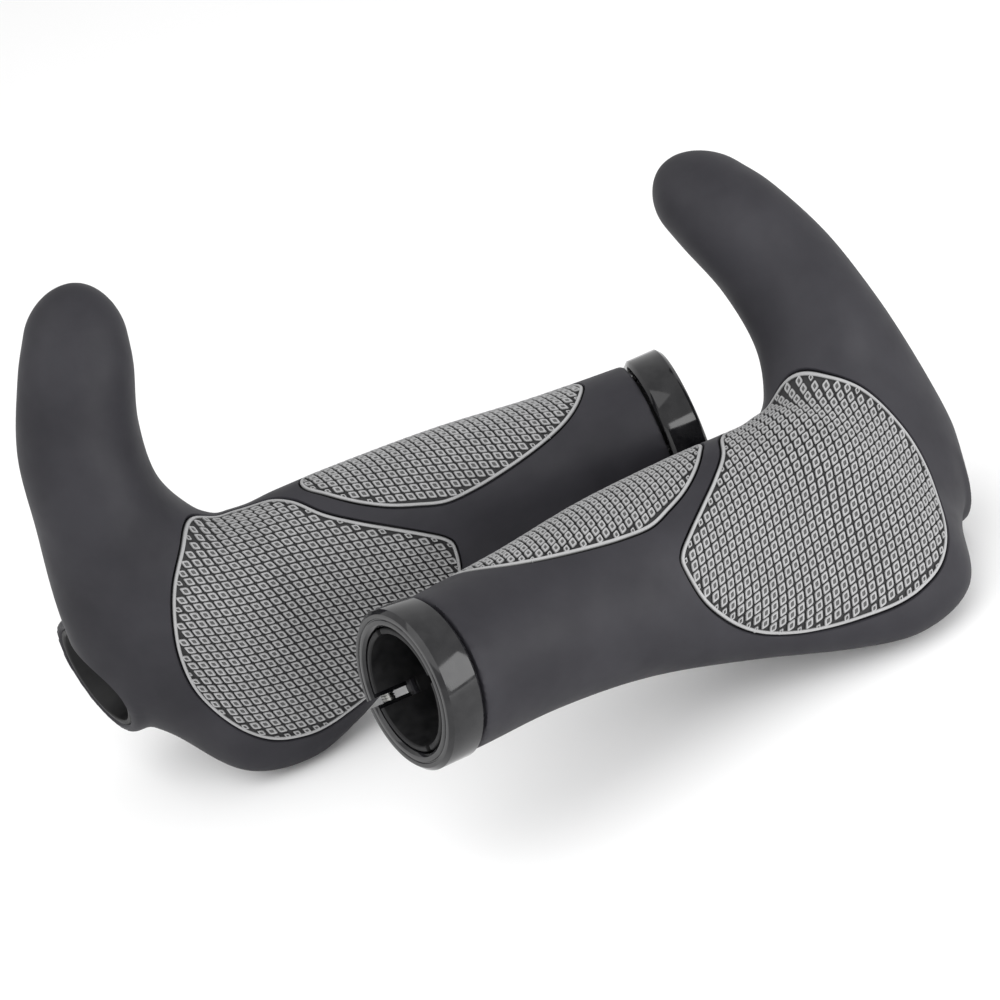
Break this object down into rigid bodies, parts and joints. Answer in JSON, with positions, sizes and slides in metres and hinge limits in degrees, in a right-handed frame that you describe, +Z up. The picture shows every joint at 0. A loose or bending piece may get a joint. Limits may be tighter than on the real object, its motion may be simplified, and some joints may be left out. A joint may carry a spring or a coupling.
{
  "type": "bar end grips",
  "caption": "Pair of ergonomic handlebar grips with palm wings, textured inlays, built-in bar end horns and clamp rings.",
  "frame": {"origin": "centre of the pair's bounding box, on the surface that they rest on", "axes": "+Z up, +X along the left grip's bar hole towards its clamp ring and along the pair's length, +Y away from the viewer, from the right grip to the left grip"},
  "size_m": [0.1968, 0.1112, 0.1117],
  "materials": {
    "smooth_rubber": "matt moulded dark grey rubber",
    "textured_inlay": "mid grey rubber with a raised diamond texture",
    "filled_nylon": "black glass-filled nylon",
    "black_ring": "gloss black anodised",
    "zinc_steel": "zinc-plated steel"
  },
  "bodies": {
    "right_grip": {"right_rubber_body": "smooth_rubber", "right_palm_inlay": "textured_inlay", "right_finger_inlay": "textured_inlay", "right_horn_core": "filled_nylon", "right_core_sleeve": "filled_nylon"},
    "right_clamp": {"right_clamp_ring": "black_ring"},
    "right_washer": {"right_lock_washer": "zinc_steel"},
    "right_bolt": {"right_clamp_bolt": "zinc_steel"},
    "left_grip": {"left_rubber_body": "smooth_rubber", "left_palm_inlay": "textured_inlay", "left_finger_inlay": "textured_inlay", "left_horn_core": "filled_nylon", "left_core_sleeve": "filled_nylon"},
    "left_clamp": {"left_clamp_ring": "black_ring"},
    "left_washer": {"left_lock_washer": "zinc_steel"},
    "left_bolt": {"left_clamp_bolt": "zinc_steel"}
  },
  "joints": [
    {"name": "left_grip_shift", "type": "slide", "parent": "right_grip", "child": "left_grip", "axis": [0, 1, 0], "range_m": [0, 0.15]},
    {"name": "right_clamp_slide", "type": "slide", "parent": "right_grip", "child": "right_clamp", "axis": [-0.902, -0.3847, 0.1959], "range_m": [0, 0.01]},
    {"name": "right_washer_back", "type": "slide", "parent": "right_clamp", "child": "right_washer", "axis": [-0.0251, 0.4997, 0.8658], "range_m": [0, 0.00187]},
    {"name": "right_bolt_turn", "type": "hinge", "parent": "right_washer", "child": "right_bolt", "pos_m": [-0.03507, -0.02862, 0.03533], "axis": [-0.0251, 0.4997, 0.8658], "range_deg": [0, 1355]},
    {"name": "left_clamp_slide", "type": "slide", "parent": "left_grip", "child": "left_clamp", "axis": [0.9989, 0, 0.0471], "range_m": [0, 0.01]},
    {"name": "left_washer_back", "type": "slide", "parent": "left_clamp", "child": "left_washer", "axis": [-0.0471, 0.0279, 0.9985], "range_m": [0, 0.00187]},
    {"name": "left_bolt_turn", "type": "hinge", "parent": "left_washer", "child": "left_bolt", "pos_m": [0.04552, 0.05249, 0.03472], "axis": [-0.0471, 0.0279, 0.9985], "range_deg": [0, 1355]}
  ],
  "couplings": [
    {"joint": "right_bolt_turn", "follows": "right_washer_back", "rad_per_m": 12566},
    {"joint": "left_bolt_turn", "follows": "left_washer_back", "rad_per_m": 12566}
  ]
}
